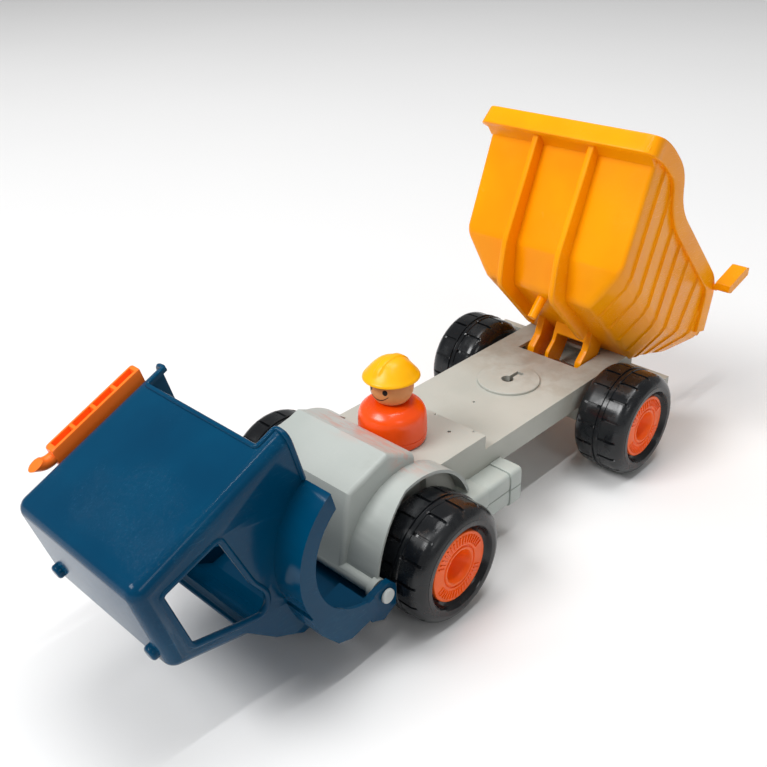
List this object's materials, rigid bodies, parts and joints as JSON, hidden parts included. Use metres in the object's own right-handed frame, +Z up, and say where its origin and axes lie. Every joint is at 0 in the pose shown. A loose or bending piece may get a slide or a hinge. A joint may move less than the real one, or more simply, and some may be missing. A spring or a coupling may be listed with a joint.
{
  "type": "toy dump truck",
  "caption": "Moulded plastic toy dump truck with a tip-forward cab, a raising dump bed, free-rolling wheels and a lift-out peg driver on an open deck.",
  "frame": {"origin": "on the floor at the centre of the footprint of the truck stored with its cab tipped open and its bed raised", "axes": "+X towards the truck's front, +Y to the truck's left, +Z up"},
  "size_m": [0.5013, 0.162, 0.228],
  "materials": {
    "chassis_grey": "satin",
    "cab_blue": "satin",
    "bed_yellow": "satin",
    "tyre_black": "gloss",
    "hub_orange": "satin",
    "trim_orange": "satin",
    "driver_orange": "gloss",
    "skin_peach": "satin",
    "hat_yellow": "satin",
    "pin_grey": "satin",
    "axle_steel": "brushed",
    "screw_steel": "satin"
  },
  "bodies": {
    "chassis": {"chassis_deck": "chassis_grey", "chassis_base": "chassis_grey", "base_screws": "screw_steel", "latch_plate": "chassis_grey", "engine_bonnet": "chassis_grey", "cab_pin_left": "pin_grey", "cab_pin_right": "pin_grey", "side_tank_left": "chassis_grey", "side_tank_right": "chassis_grey", "rear_axle": "axle_steel", "front_axle": "axle_steel", "axle_washers": "pin_grey", "bed_hinge_rod": "axle_steel"},
    "cab": {"cab_shell": "cab_blue", "exhaust_stack": "trim_orange"},
    "bed": {"bed_tub": "bed_yellow", "tip_handle": "bed_yellow"},
    "driver": {"driver_base": "driver_orange", "driver_body": "driver_orange", "driver_head": "skin_peach", "driver_hat": "hat_yellow"},
    "wheel_rear_left": {"tyre_rear_left": "tyre_black", "hub_rear_left": "hub_orange"},
    "wheel_rear_right": {"tyre_rear_right": "tyre_black", "hub_rear_right": "hub_orange"},
    "wheel_front_left": {"tyre_front_left": "tyre_black", "hub_front_left": "hub_orange"},
    "wheel_front_right": {"tyre_front_right": "tyre_black", "hub_front_right": "hub_orange"}
  },
  "joints": [
    {"name": "cab_tilt", "type": "hinge", "parent": "chassis", "child": "cab", "pos_m": [0.119, 0, 0.0384], "axis": [0, 1, 0], "range_deg": [-105.7, 0]},
    {"name": "bed_tip", "type": "hinge", "parent": "chassis", "child": "bed", "pos_m": [-0.132, 0, 0.051], "axis": [0, 1, 0], "range_deg": [0, 45.5]},
    {"name": "driver_lift", "type": "slide", "parent": "chassis", "child": "driver", "axis": [0, 0, 1], "range_m": [0, 0.12]},
    {"name": "spin_rear_left", "type": "hinge", "parent": "chassis", "child": "wheel_rear_left", "pos_m": [-0.119, 0.062, 0.036], "axis": [0, 1, 0], "continuous": true},
    {"name": "spin_rear_right", "type": "hinge", "parent": "chassis", "child": "wheel_rear_right", "pos_m": [-0.119, -0.062, 0.036], "axis": [0, 1, 0], "continuous": true},
    {"name": "spin_front_left", "type": "hinge", "parent": "chassis", "child": "wheel_front_left", "pos_m": [0.074, 0.062, 0.036], "axis": [0, 1, 0], "continuous": true},
    {"name": "spin_front_right", "type": "hinge", "parent": "chassis", "child": "wheel_front_right", "pos_m": [0.074, -0.062, 0.036], "axis": [0, 1, 0], "continuous": true}
  ]
}
